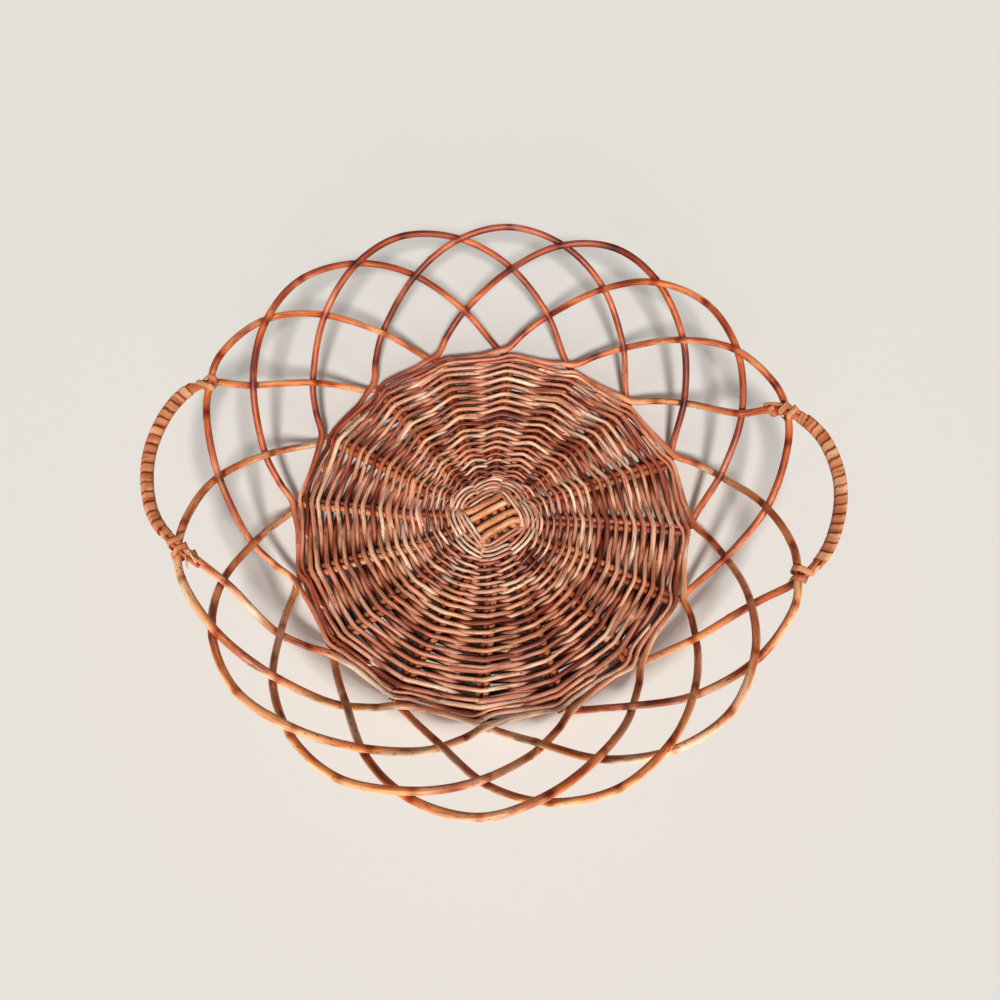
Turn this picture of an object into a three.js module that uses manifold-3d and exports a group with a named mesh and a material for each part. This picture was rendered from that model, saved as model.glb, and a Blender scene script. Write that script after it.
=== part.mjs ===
import * as THREE from 'three';
import { mergeVertices } from 'three/addons/utils/BufferGeometryUtils.js';
import Module from 'manifold-3d';

// Willow tray basket: a round woven base, a border of crossing arches, and two opposite arches
// drawn out as bound handles. Millimetres, +Z up, origin on the ground under the middle.

// Driving dimensions: the border
const ARCH_COUNT = 16;
const ARCH_SPAN = 4; // foot places that one arch bridges
const LANDING_MARGIN = 3.5; // from the rim out to the circle on which the arches land
const WALL_RISE = 64.5; // arch tops above their landing
const WALL_FLARE = 48; // arch tops outside the landing circle
const ROD = 4.2; // border rod
const ROD_TIP = 3.2; // border rod at its thin end
const TIP_REACH = 1.55; // foot places that a thin end follows the rim
const BUTT_INNER_RADIUS = 42; // where the thick ends stop inside the base
const HEEL_START = 17.5; // inside the landing, where a thick end leaves its base stick
const HEEL_EASE = 10; // inside the landing, a second point of that bend
const HEEL_REACH = 5; // how far a thick end passes its landing before it rises
const HEEL_SKEW = 1.7; // how far it leans towards its arch there

// Driving dimensions: the handles
const HANDLE_RISE = 71; // handle top above the landing
const HANDLE_FLARE = 61.5; // handle top outside the landing circle
const CORE_ROD = 2.4; // thin rod that doubles a handle
const CORE_TAIL = 4.5; // how far it shows past the second tie
const SKEIN_WIDTH = 4.4;
const SKEIN_THICKNESS = 0.8;
const SKEIN_FLAT = 0.76; // share of its width that is flat
const WRAP_TURNS = 17;
const TIE_TURNS = 2;
const TIE_PITCH = 5.2;
const BARE_ROD = 1; // between a tie and the wrapping

// Driving dimensions: the base
const RIM_RADIUS = 126.5; // outer edge of the thin ends laid round the base
const STICK = 4; // base stick
const STICK_END = 1.5; // how far a base stick passes the rim
const STICKS_PER_SET = 4;
const STICK_RISE = 4.3; // upper set over the lower set, where they cross
const UPPER_RISE_SHARE = 0.75; // share of that rise which the upper set takes
const CROSS_HALF = 10; // half of the square where the two sets cross
const WEAVER = 3; // weaving rod, above and below the spokes
const BINDING = 1.8; // thin weaver round the crossed sticks
const BINDING_INNER_RADIUS = 13;
const BINDING_OUTER_RADIUS = 26.5;
const WEAVE_BANDS = 2;
const SPOKE_TURN = -3.7; // degrees from a landing to the base stick beside it
const RIM_WEAVE_WIDTH = 8;

// Fits
const CLEARANCE = 0.3; // between touching pieces
const BAND_GAP = 0.4; // between neighbouring bands of weave

// Shape of an arch from its top to its landing: share of the flare and of the rise
const WALL_SHAPE = [
  [1, 1],
  [0.885, 0.932],
  [0.65, 0.683],
  [0.333, 0.292],
  [0, 0],
];

// Side of the wall that an arch keeps at each crossing, by half pitches from its top
const CROSSING_SIDES = [[-3, 1], [-2, -1], [-1, -1], [0, 0], [1, 1], [2, 1], [3, -1]];
const HANDLE_CROSSING = 1.5; // where a handle crosses its neighbour, in half pitches
const NEIGHBOUR_CROSSING = 2 - HANDLE_CROSSING;
const HANDLE_SHOULDER = 0.7; // share of the bow reached at its shoulder
const HANDLE_SHOULDER_PLACE = 0.62; // share of the way from the top to the crossing
const LANDING_EASE = 0.5; // half pitches from a landing to the first point on the wall

// Foot places that a thin end has passed where it keeps to the outer and to the inner track
const OUTER_TRACK_PLACES = [0.33, 0.54];
const INNER_TRACK_PLACES = [1, 1.25, TIP_REACH];

// Facets
const ROD_SIDES = 6;
const SKEIN_STEPS = 12;
const WALL_STEPS = 2;
const GRIP_STEPS = 4;
const GRIP_SAMPLES = 24;
const FAN_SEGMENTS = [1, 4]; // segments of a base stick's curve that bend
const FAN_STEPS = 2;
const CORE_STEPS = 14;

// Sizes that follow from the ones above
const PITCH = (2 * Math.PI) / ARCH_COUNT;
const HALF_PITCH = PITCH / 2;
const BAND_SEGMENTS = 2 * ARCH_COUNT; // of a ring of weave: a line at each spoke and one between
const LANDING_RADIUS = RIM_RADIUS + LANDING_MARGIN;
const SPOKE_HEIGHT = WEAVER + CLEARANCE + Math.max(ROD, STICK) / 2;
const TIP_HEIGHT = SPOKE_HEIGHT + ROD + CLEARANCE;
const LANDING_HEIGHT = (SPOKE_HEIGHT + TIP_HEIGHT) / 2;
const CROSSING_LIFT = (ROD + CLEARANCE) / 2;
const TRACK_STEP = ROD + 2 * CLEARANCE; // between two thin ends side by side on the rim
const OUTER_TRACK = RIM_RADIUS - ROD / 2;
const INNER_TRACK = OUTER_TRACK - TRACK_STEP;
const BUTT_OFFSET = (STICK + ROD) / 2 + CLEARANCE; // thick end beside its base stick
const WEAVE_TOP = SPOKE_HEIGHT + Math.max(ROD, STICK) / 2 + CLEARANCE + WEAVER;
const WEAVE_OUTER_RADIUS = INNER_TRACK - ROD / 2 - CLEARANCE;
const UPPER_STICK_HEIGHT = SPOKE_HEIGHT + UPPER_RISE_SHARE * STICK_RISE;
const LOWER_STICK_HEIGHT = UPPER_STICK_HEIGHT - STICK_RISE;

const wasm = await Module();
wasm.setup();

const willow = (color, roughness) => new THREE.MeshStandardMaterial({ color, roughness, metalness: 0 });
const ROD_FINISH = { color: 0xa9602f, roughness: 0.55 };
const WEAVER_FINISH = { color: 0x94563a, roughness: 0.65 };
const STICK_FINISH = { color: 0xb2703c, roughness: 0.6 };
const SKEIN_FINISH = { color: 0xb06a3a, roughness: 0.5 };

const basket = new THREE.Group();

function addPiece(name, geometry, finish) {
  const mesh = new THREE.Mesh(geometry, willow(finish.color, finish.roughness));
  mesh.name = name;
  basket.add(mesh);
}

function polar(angle, radius, height) {
  return new THREE.Vector3(radius * Math.cos(angle), radius * Math.sin(angle), height);
}

// Solids

function polygon(sides, radius) {
  const turn = (2 * Math.PI) / sides;
  return Array.from({ length: sides }, (_, k) => (
    new THREE.Vector2(radius * Math.cos(k * turn), radius * Math.sin(k * turn))
  ));
}

function square(side) {
  return polygon(4, side / Math.SQRT2).map((corner) => corner.rotateAround(new THREE.Vector2(), Math.PI / 4));
}

function tangentAt(stations, k) {
  const before = stations[Math.max(k - 1, 0)].point;
  const after = stations[Math.min(k + 1, stations.length - 1)].point;
  return after.clone().sub(before).normalize();
}

// Closed body of a section carried along stations, each with a point, an outward direction and a scale
function sweep(stations, section) {
  const sides = section.length;
  const vertices = [];
  stations.forEach((station, k) => {
    const tangent = tangentAt(stations, k);
    const across = tangent.clone().cross(station.outward).normalize();
    const outward = across.clone().cross(tangent);
    section.forEach((corner) => {
      const vertex = station.point.clone()
        .addScaledVector(outward, corner.x * station.scale)
        .addScaledVector(across, corner.y * station.scale);
      vertices.push(vertex.x, vertex.y, vertex.z);
    });
  });
  const indices = [];
  for (let k = 0; k < stations.length - 1; k += 1) {
    for (let j = 0; j < sides; j += 1) {
      const a = k * sides + j;
      const b = k * sides + ((j + 1) % sides);
      indices.push(a, b, b + sides, a, b + sides, a + sides);
    }
  }
  const last = (stations.length - 1) * sides;
  for (let j = 1; j < sides - 1; j += 1) {
    indices.push(0, j + 1, j, last, last + j, last + j + 1);
  }
  const geometry = new THREE.BufferGeometry();
  geometry.setAttribute('position', new THREE.Float32BufferAttribute(vertices, 3));
  geometry.setIndex(indices);
  return geometry;
}

// Stations along a rod, whose outward direction is carried on without twist
function rodStations(points, scaleAt = () => 1) {
  const stations = points.map((point) => ({ point, outward: new THREE.Vector3(), scale: 1 }));
  const outward = new THREE.Vector3(0, 0, 1);
  stations.forEach((station, k) => {
    const tangent = tangentAt(stations, k);
    outward.addScaledVector(tangent, -outward.dot(tangent)).normalize();
    station.outward.copy(outward);
    station.scale = scaleAt(k / (points.length - 1));
  });
  return stations;
}

function toSolid(geometry) {
  const bare = new THREE.BufferGeometry();
  bare.setAttribute('position', geometry.getAttribute('position'));
  bare.setIndex(geometry.getIndex());
  const merged = mergeVertices(bare);
  return new wasm.Manifold(new wasm.Mesh({
    numProp: 3,
    vertProperties: new Float32Array(merged.getAttribute('position').array),
    triVerts: new Uint32Array(merged.getIndex().array),
  }));
}

function cut(geometry, cutters) {
  const solid = cutters.reduce((left, cutter) => left.subtract(cutter), toSolid(geometry));
  const mesh = solid.getMesh();
  const result = new THREE.BufferGeometry();
  result.setAttribute('position', new THREE.Float32BufferAttribute(mesh.vertProperties, 3));
  result.setIndex(new THREE.Uint32BufferAttribute(mesh.triVerts, 1));
  return result;
}

// Ring round the middle of the basket, from a closed outline of radius and height
function ring(outline) {
  const points = [...outline, outline[0]].map(([radius, height]) => new THREE.Vector2(radius, height));
  return new THREE.LatheGeometry(points, BAND_SEGMENTS).rotateX(Math.PI / 2);
}

// The border: an arch climbs from under the rim, over its neighbours, and lands again

const wallShape = new THREE.SplineCurve(
  [...WALL_SHAPE.slice(1).reverse(), ...WALL_SHAPE].map(([flare, rise]) => new THREE.Vector2(flare, rise)),
);
const wallNormal = new THREE.Vector2(-WALL_RISE, WALL_FLARE).normalize();

// Radius and height of an arch, at a place counted in half pitches from its top
function wallPlace(place) {
  const share = wallShape.getPoint((place + ARCH_SPAN) / (2 * ARCH_SPAN));
  return new THREE.Vector2(LANDING_RADIUS + share.x * WALL_FLARE, LANDING_HEIGHT + share.y * WALL_RISE);
}

function onWall(centre, { place, side, middle }) {
  const lifted = middle.clone().addScaledVector(wallNormal, side * CROSSING_LIFT);
  return polar(centre + place * HALF_PITCH, lifted.x, lifted.y);
}

function besideSpoke(foot, reach) {
  const direction = foot + THREE.MathUtils.degToRad(SPOKE_TURN);
  const along = polar(direction, reach, SPOKE_HEIGHT);
  return along.add(polar(direction + Math.PI / 2, BUTT_OFFSET, 0));
}

// Thick end: from inside the base, out under the rim, to the place where it starts to rise
function buttPoints(foot) {
  return [
    besideSpoke(foot, BUTT_INNER_RADIUS),
    besideSpoke(foot, LANDING_RADIUS - HEEL_START),
    besideSpoke(foot, LANDING_RADIUS - HEEL_EASE),
    polar(foot, LANDING_RADIUS, SPOKE_HEIGHT),
    polar(foot + HEEL_SKEW / LANDING_RADIUS, LANDING_RADIUS + HEEL_REACH, SPOKE_HEIGHT + CLEARANCE),
  ];
}

// Thin end: laid along the rim, then inside the next arch's thin end
function tipPoints(foot) {
  const along = (radius) => (places) => polar(foot + places * PITCH, radius, TIP_HEIGHT);
  return [...OUTER_TRACK_PLACES.map(along(OUTER_TRACK)), ...INNER_TRACK_PLACES.map(along(INNER_TRACK))];
}

function isHandle(index) {
  return index % (ARCH_COUNT / 2) === 0;
}

function crossing(place, side, middle = wallPlace(place)) {
  return { place, side, middle };
}

// A handle leaves the wall where it crosses its neighbours, and bows out to its top
function handleCrossings() {
  const tie = wallPlace(NEIGHBOUR_CROSSING);
  const top = new THREE.Vector2(LANDING_RADIUS + HANDLE_FLARE, LANDING_HEIGHT + HANDLE_RISE);
  const shoulder = tie.clone().lerp(top, HANDLE_SHOULDER);
  const shoulderPlace = HANDLE_SHOULDER_PLACE * HANDLE_CROSSING;
  return [
    crossing(-HANDLE_CROSSING, -1, tie),
    crossing(-shoulderPlace, 0, shoulder),
    crossing(0, 0, top),
    crossing(shoulderPlace, 0, shoulder),
    crossing(HANDLE_CROSSING, 1, tie),
  ];
}

// Crossings of an arch in order; the arches beside a handle meet it near their tops
function crossingsOf(index) {
  const plain = CROSSING_SIDES.map(([place, side]) => crossing(place, side));
  const extra = [];
  if (isHandle(index)) {
    extra.push(...handleCrossings());
  }
  if (isHandle(index + 1)) {
    extra.push(crossing(NEIGHBOUR_CROSSING, 1));
  }
  if (isHandle(index - 1)) {
    extra.push(crossing(-NEIGHBOUR_CROSSING, -1));
  }
  const kept = isHandle(index) ? plain.filter(({ place }) => Math.abs(place) > HANDLE_CROSSING) : plain;
  return [...kept, ...extra].sort((a, b) => a.place - b.place);
}

// Whole arch: its curve, points along it for the solid, and where its stretches begin
function makeArch(index) {
  const centre = index * PITCH;
  const backFoot = centre - ARCH_SPAN * HALF_PITCH;
  const frontFoot = centre + ARCH_SPAN * HALF_PITCH;
  const butt = buttPoints(backFoot);
  const easing = ARCH_SPAN - LANDING_EASE;
  const wall = [crossing(-easing, 0), ...crossingsOf(index), crossing(easing, 0)];
  const landing = polar(frontFoot, LANDING_RADIUS, TIP_HEIGHT);
  const points = [...butt, ...wall.map((place) => onWall(centre, place)), landing, ...tipPoints(frontFoot)];
  const rises = butt.length;
  const lands = rises + wall.length;
  const curve = new THREE.CatmullRomCurve3(points, false, 'centripetal');
  const stepsAt = (k) => {
    if (k < rises - 2 || k >= lands) {
      return 1;
    }
    const from = wall[k - rises]?.place ?? -easing;
    const grips = isHandle(index) && from >= -HANDLE_CROSSING && from < HANDLE_CROSSING;
    return grips ? GRIP_STEPS : WALL_STEPS;
  };
  const samples = sampled(curve, stepsAt);
  return { index, curve, samples, wall, rises, lands };
}

// Points along a curve, with so many steps from each of its own points to the next
function sampled(curve, stepsAt) {
  const segments = curve.points.length - 1;
  const samples = [curve.points[0]];
  for (let k = 0; k < segments; k += 1) {
    const steps = stepsAt(k);
    for (let j = 1; j <= steps; j += 1) {
      samples.push(curve.getPoint((k + j / steps) / segments));
    }
  }
  return samples;
}

// Share of an arch's curve at one of its crossings
function shareAt(arch, place) {
  const k = arch.wall.findIndex((station) => station.place === place);
  return (arch.rises + k) / (arch.curve.points.length - 1);
}

const arches = Array.from({ length: ARCH_COUNT }, (_, index) => makeArch(index));

function archName(index) {
  if (isHandle(index)) {
    return index === 0 ? 'handle_arch_right' : 'handle_arch_left';
  }
  return `border_arch_${String(index).padStart(2, '0')}`;
}

arches.forEach((arch) => {
  const thinFrom = arch.lands / (arch.curve.points.length - 1);
  const scaleAt = (share) => {
    const thinning = Math.max(0, (share - thinFrom) / (1 - thinFrom));
    return 1 - thinning * (1 - ROD_TIP / ROD);
  };
  const body = sweep(rodStations(arch.samples, scaleAt), polygon(ROD_SIDES, ROD / 2));
  addPiece(archName(arch.index), body, ROD_FINISH);
});

// The base sticks: two crossed sets that fan out into evenly spaced spokes

const fanTurn = THREE.MathUtils.degToRad(SPOKE_TURN) + HALF_PITCH + PITCH;

function stickPoints(setTurn, place, crossHeight) {
  const offset = place * (STICK + BAND_GAP);
  const angle = place * PITCH;
  const side = (sign) => {
    const out = (reach, height) => new THREE.Vector3(
      sign * reach * Math.cos(angle),
      reach * Math.sin(angle),
      height,
    );
    return [
      out(RIM_RADIUS + STICK_END, SPOKE_HEIGHT),
      out(BINDING_OUTER_RADIUS, SPOKE_HEIGHT),
      new THREE.Vector3(sign * CROSS_HALF, offset, crossHeight),
    ];
  };
  const points = [...side(-1), new THREE.Vector3(0, offset, crossHeight), ...side(1).reverse()];
  return points.map((point) => point.applyAxisAngle(new THREE.Vector3(0, 0, 1), setTurn));
}

const STICK_PLACES = Array.from({ length: STICKS_PER_SET }, (_, k) => k - (STICKS_PER_SET - 1) / 2);
const stickCutters = [];

function addStickSet(label, setTurn, crossHeight) {
  STICK_PLACES.forEach((place, k) => {
    const curve = new THREE.CatmullRomCurve3(stickPoints(setTurn, place, crossHeight), false, 'centripetal');
    const stepsAt = (segment) => (FAN_SEGMENTS.includes(segment) ? FAN_STEPS : 1);
    const stations = rodStations(sampled(curve, stepsAt));
    addPiece(`base_stick_${label}_${k + 1}`, sweep(stations, polygon(ROD_SIDES, STICK / 2)), STICK_FINISH);
    stickCutters.push(toSolid(sweep(stations, square(STICK + 2 * CLEARANCE))));
  });
}

addStickSet('upper', fanTurn, UPPER_STICK_HEIGHT);
addStickSet('lower', fanTurn + Math.PI / 2, LOWER_STICK_HEIGHT);

// The woven base: bands of weave, open where the sticks and the thick ends pass through

const buttCutters = arches.map((arch) => {
  const [inner, next] = arch.samples;
  const start = inner.clone().addScaledVector(next.clone().sub(inner).normalize(), -CLEARANCE);
  return toSolid(sweep(rodStations([start, arch.curve.points[2]]), square(ROD + 2 * CLEARANCE)));
});

const bindingTop = UPPER_STICK_HEIGHT + STICK / 2 + CLEARANCE + BINDING;
const binding = ring([
  [BINDING_INNER_RADIUS, 0],
  [BINDING_OUTER_RADIUS, 0],
  [BINDING_OUTER_RADIUS, WEAVE_TOP],
  [BINDING_INNER_RADIUS, bindingTop],
]);
addPiece('slath_binding', cut(binding, stickCutters), WEAVER_FINISH);

// Weave follows the spokes: high over them, and sunk between them, where its weavers lie side by side
function followSpokes(band) {
  const places = band.getAttribute('position');
  const place = new THREE.Vector3();
  const axis = new THREE.Vector3(0, 0, 1);
  for (let i = 0; i < places.count; i += 1) {
    place.fromBufferAttribute(places, i);
    const radius = Math.hypot(place.x, place.y);
    const line = Math.round(Math.atan2(place.y, place.x) / HALF_PITCH);
    if (line % 2 !== 0 && place.z > SPOKE_HEIGHT) {
      place.z = SPOKE_HEIGHT + WEAVER / 2;
    }
    const doubled = radius > BUTT_INNER_RADIUS ? BUTT_OFFSET / (2 * radius) : 0;
    place.applyAxisAngle(axis, THREE.MathUtils.degToRad(SPOKE_TURN) + doubled);
    places.setXYZ(i, place.x, place.y, place.z);
  }
  return band;
}

const weaveStart = BINDING_OUTER_RADIUS + BAND_GAP;
const bandStep = (WEAVE_OUTER_RADIUS + BAND_GAP - weaveStart) / WEAVE_BANDS;
for (let k = 0; k < WEAVE_BANDS; k += 1) {
  const inner = weaveStart + k * bandStep;
  const outer = inner + bandStep - BAND_GAP;
  const band = ring([[inner, 0], [outer, 0], [outer, WEAVE_TOP], [inner, WEAVE_TOP]]);
  const woven = cut(followSpokes(band), [...stickCutters, ...buttCutters]);
  addPiece(`base_weave_${k + 1}`, woven, WEAVER_FINISH);
}

const rimInner = WEAVE_OUTER_RADIUS + BAND_GAP;
const rimTop = SPOKE_HEIGHT - Math.max(ROD, STICK) / 2 - CLEARANCE;
const rimWeave = ring([
  [rimInner, 0],
  [rimInner + RIM_WEAVE_WIDTH, 0],
  [rimInner + RIM_WEAVE_WIDTH, rimTop],
  [rimInner, rimTop],
]);
addPiece('rim_weave', followSpokes(rimWeave), WEAVER_FINISH);

// The handle binding: a thin second rod, a long wrapping and a tie at each crossing

const SKEIN_SECTION = [
  [1, -SKEIN_FLAT], [1, SKEIN_FLAT], [0, 1], [-1, SKEIN_FLAT], [-1, -SKEIN_FLAT], [0, -1],
].map(([thick, wide]) => new THREE.Vector2(thick * SKEIN_THICKNESS, wide * SKEIN_WIDTH).multiplyScalar(0.5));

const FLAT_ALLOWANCE = 1 / Math.cos(Math.PI / SKEIN_STEPS); // keeps the strip's flats off the rods

// Flat strip wound round a bundle: frameAt gives its middle, two cross directions and its rods
function skeinStations(frameAt, turns) {
  const count = turns * SKEIN_STEPS;
  const stations = [];
  for (let i = 0; i <= count; i += 1) {
    const angle = (2 * Math.PI * i) / SKEIN_STEPS;
    const frame = frameAt(i / count);
    const facing = new THREE.Vector2(Math.cos(angle), Math.sin(angle));
    const outermost = frame.rods.reduce((best, rod) => {
      const reach = rod.place.dot(facing) + rod.radius;
      return reach > best.reach ? { reach, rod } : best;
    }, { reach: -Infinity });
    const lift = (outermost.rod.radius + CLEARANCE + SKEIN_THICKNESS / 2) * FLAT_ALLOWANCE;
    const place = outermost.rod.place.clone().addScaledVector(facing, lift);
    const outward = frame.first.clone().multiplyScalar(facing.x).addScaledVector(frame.second, facing.y);
    const point = frame.middle.clone()
      .addScaledVector(frame.first, place.x)
      .addScaledVector(frame.second, place.y);
    stations.push({ point, outward, scale: 1 });
  }
  return [straightEnd(stations[1], stations[0]), ...stations, straightEnd(stations.at(-2), stations.at(-1))];
}

function straightEnd(before, end) {
  const direction = end.point.clone().sub(before.point).normalize();
  const point = end.point.clone().addScaledVector(direction, SKEIN_WIDTH);
  return { point, outward: end.outward, scale: 1 };
}

// Least distance between the corners of one turn and those of the turns beside it
function leastGap(geometry) {
  const corners = geometry.getAttribute('position');
  const turn = SKEIN_STEPS * SKEIN_SECTION.length;
  const a = new THREE.Vector3();
  const b = new THREE.Vector3();
  let least = Infinity;
  for (let i = 0; i < corners.count; i += 1) {
    a.fromBufferAttribute(corners, i);
    for (let j = i + turn / 2; j < corners.count; j += 1) {
      b.fromBufferAttribute(corners, j);
      least = Math.min(least, a.distanceTo(b));
    }
  }
  return least;
}

function addSkein(name, frameAt, turns) {
  const geometry = sweep(skeinStations(frameAt, turns), SKEIN_SECTION);
  console.log(`${name}: least gap to itself ${leastGap(geometry).toFixed(2)} mm`);
  addPiece(name, geometry, SKEIN_FINISH);
}

// Cross directions of a handle's bundle: in the wall away from the bow's middle, and through the wall
function crossDirections(point, tangent) {
  const around = Math.atan2(point.y, point.x);
  const normal = polar(around, wallNormal.x, wallNormal.y);
  const first = tangent.clone().cross(normal).normalize();
  return { first, second: tangent.clone().cross(first) };
}

const coreOffset = (ROD + CORE_ROD) / 2 + CLEARANCE;
const handleRod = { place: new THREE.Vector2(0, 0), radius: ROD / 2 };
const coreRod = { place: new THREE.Vector2(coreOffset, 0), radius: CORE_ROD / 2 };

// Where a rod passes the plane across an axis, nearest to a point of that plane
function passing(samples, point, axis) {
  let nearest = null;
  for (let k = 1; k < samples.length; k += 1) {
    const before = samples[k - 1].clone().sub(point).dot(axis);
    const after = samples[k].clone().sub(point).dot(axis);
    if (before * after <= 0 && before !== after) {
      const place = samples[k - 1].clone().lerp(samples[k], before / (before - after));
      if (!nearest || place.distanceTo(point) < nearest.distanceTo(point)) {
        nearest = place;
      }
    }
  }
  return nearest;
}

// Bundle round a crossing of two rods; the strip runs along their bisector
function tieFrames(crossed, rods) {
  const [main, other] = crossed;
  const axis = main.tangent.clone().add(other.tangent).normalize();
  const middle = main.point.clone().lerp(other.point, 0.5);
  const across = main.point.clone().sub(other.point);
  const first = across.addScaledVector(axis, -across.dot(axis)).normalize();
  const second = axis.clone().cross(first);
  const rodsAt = (reach) => {
    const point = middle.clone().addScaledVector(axis, reach);
    return rods.map((rod) => {
      const from = passing(rod.samples, point, axis).sub(point);
      return { place: new THREE.Vector2(from.dot(first), from.dot(second)), radius: rod.radius };
    });
  };
  return (u) => {
    const reach = (u - 0.5) * TIE_TURNS * TIE_PITCH;
    return {
      middle: middle.clone().addScaledVector(axis, reach),
      first,
      second,
      rods: [-0.5, 0, 0.5].flatMap((share) => rodsAt(reach + share * SKEIN_WIDTH)),
    };
  };
}

function crossingPoint(arch, place) {
  const share = shareAt(arch, place);
  return { point: arch.curve.getPoint(share), tangent: arch.curve.getTangent(share) };
}

// Smooth curve along part of an arch, and the cross directions of a bundle on it
function stretch(arch, from, to) {
  const curve = new THREE.CatmullRomCurve3(Array.from({ length: GRIP_SAMPLES + 1 }, (_, k) => (
    arch.curve.getPoint(THREE.MathUtils.lerp(from, to, k / GRIP_SAMPLES))
  )));
  const length = curve.getLength();
  const frameAt = (distance) => {
    const middle = curve.getPointAt(distance / length);
    return { middle, ...crossDirections(middle, curve.getTangentAt(distance / length)) };
  };
  return { length, frameAt };
}

function addHandleBinding(label, arch) {
  const start = crossingPoint(arch, -HANDLE_CROSSING);
  const end = crossingPoint(arch, HANDLE_CROSSING);
  const before = arches.at(arch.index - 1);
  const after = arches.at((arch.index + 1) % ARCH_COUNT);
  const startOther = crossingPoint(before, NEIGHBOUR_CROSSING);
  const endOther = crossingPoint(after, -NEIGHBOUR_CROSSING);
  const grip = stretch(arch, shareAt(arch, -HANDLE_CROSSING), shareAt(arch, HANDLE_CROSSING));
  const spine = stretch(arch, shareAt(arch, -HANDLE_CROSSING), shareAt(arch, ARCH_SPAN - 1));

  const tieReach = (TIE_TURNS * TIE_PITCH + SKEIN_WIDTH) / 2;
  const bisector = start.tangent.clone().add(startOther.tangent).normalize();
  const tieLength = tieReach / bisector.dot(start.tangent);
  const bare = tieLength + BARE_ROD + SKEIN_WIDTH / 2;
  const wrapFrame = (u) => ({
    ...grip.frameAt(bare + u * (grip.length - 2 * bare)),
    rods: [handleRod, coreRod],
  });
  addSkein(`handle_wrap_${label}`, wrapFrame, WRAP_TURNS);

  const coreStart = bare - (SKEIN_WIDTH + BARE_ROD) / 2;
  const coreEnd = grip.length + tieLength + CORE_TAIL;
  const corePoints = Array.from({ length: CORE_STEPS + 1 }, (_, k) => {
    const { middle, first } = spine.frameAt(THREE.MathUtils.lerp(coreStart, coreEnd, k / CORE_STEPS));
    return middle.addScaledVector(first, coreOffset);
  });
  const coreBody = sweep(rodStations(corePoints), polygon(ROD_SIDES, CORE_ROD / 2));
  addPiece(`handle_core_${label}`, coreBody, ROD_FINISH);

  const handle = { samples: arch.samples, radius: ROD / 2 };
  const core = { samples: corePoints, radius: CORE_ROD / 2 };
  const beforeRod = { samples: before.samples, radius: ROD / 2 };
  const afterRod = { samples: after.samples, radius: ROD / 2 };
  addSkein(`tie_${label}_start`, tieFrames([start, startOther], [handle, beforeRod]), TIE_TURNS);
  addSkein(`tie_${label}_end`, tieFrames([end, endOther], [handle, afterRod, core]), TIE_TURNS);
}

addHandleBinding('right', arches[0]);
addHandleBinding('left', arches[ARCH_COUNT / 2]);

export default basket;
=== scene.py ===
"""Looks of the willow tray basket: peeled willow rods bent, woven, wrapped and tied round the frame."""
from bisect import bisect_right
from math import asin, atan2, cos, exp, hypot, pi, radians, sin, sqrt, tanh
import random

import bpy
from mathutils import Matrix, Vector, noise


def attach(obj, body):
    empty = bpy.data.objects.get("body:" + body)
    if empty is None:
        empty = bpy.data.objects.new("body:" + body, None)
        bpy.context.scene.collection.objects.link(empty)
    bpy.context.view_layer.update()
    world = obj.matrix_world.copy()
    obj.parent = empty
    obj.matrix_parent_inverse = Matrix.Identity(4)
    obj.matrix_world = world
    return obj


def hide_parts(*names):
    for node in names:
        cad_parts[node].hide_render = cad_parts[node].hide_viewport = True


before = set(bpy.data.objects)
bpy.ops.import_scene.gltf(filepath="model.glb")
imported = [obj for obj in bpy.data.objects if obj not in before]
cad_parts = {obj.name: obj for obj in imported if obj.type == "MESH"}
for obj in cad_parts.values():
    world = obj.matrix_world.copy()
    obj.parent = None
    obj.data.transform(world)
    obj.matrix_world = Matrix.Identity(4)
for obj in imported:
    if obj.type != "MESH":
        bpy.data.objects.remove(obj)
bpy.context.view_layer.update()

MM = 0.001
BODY = "root"

# Sizes of the basket, in millimetres, as its frame has them
ARCH_COUNT = 16
ARCH_SPAN = 4
WALL_RISE = 64.5
WALL_FLARE = 48
ROD = 4.2
BUTT_INNER_RADIUS = 42
HANDLE_RISE = 71
HANDLE_FLARE = 61.5
CORE_ROD = 2.4
CORE_TAIL = 4.5
CORE_OFFSET = 3.1
SKEIN_WIDTH = 3.7
WRAP_TURNS = 17
TIE_TURNS = 2
TIE_PITCH = 5.2
BARE_ROD = 1
LANDING_RADIUS = 130
STICK = 4
STICK_REACH = 126.8
STICK_OFFSETS = [-9.3, -3.7, 3.9, 9.2]
CROSS_HALF = 10
UPPER_STICK_HEIGHT = 8.625
LOWER_STICK_HEIGHT = 4.325
SPOKE_HEIGHT = 5.4
LANDING_HEIGHT = 7.65
CROSSING_LIFT = 2.25
BUTT_OFFSET = 4.4
BINDING_OUTER_RADIUS = 26.5
SPOKE_TURN = radians(-3.7)
TURN = 2 * pi
PITCH = TURN / ARCH_COUNT
HALF_PITCH = PITCH / 2
WALL_NORMAL = Vector((-WALL_RISE, WALL_FLARE)).normalized()

# Course of an arch down the wall from its top to its foot: share of the flare, share of the rise
WALL_SHAPE = [(1, 1), (0.885, 0.932), (0.65, 0.683), (0.333, 0.292), (0, 0)]

# Crossings of an arch, in half pitches from its top, and the side of the wall it keeps to there
CROSSING_SIDES = [(-3, 1), (-2, -1), (-1, -1), (0, 0), (1, 1), (2, 1), (3, -1)]
LANDING_EASE = 0.5

# A handle's bow, in half pitches: where it crosses its neighbours, where they cross it, its shoulders
HANDLE_CROSSING = 1.5
NEIGHBOUR_CROSSING = 0.5
HANDLE_SHOULDER = 0.7
HANDLE_SHOULDER_PLACE = 0.62

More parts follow.
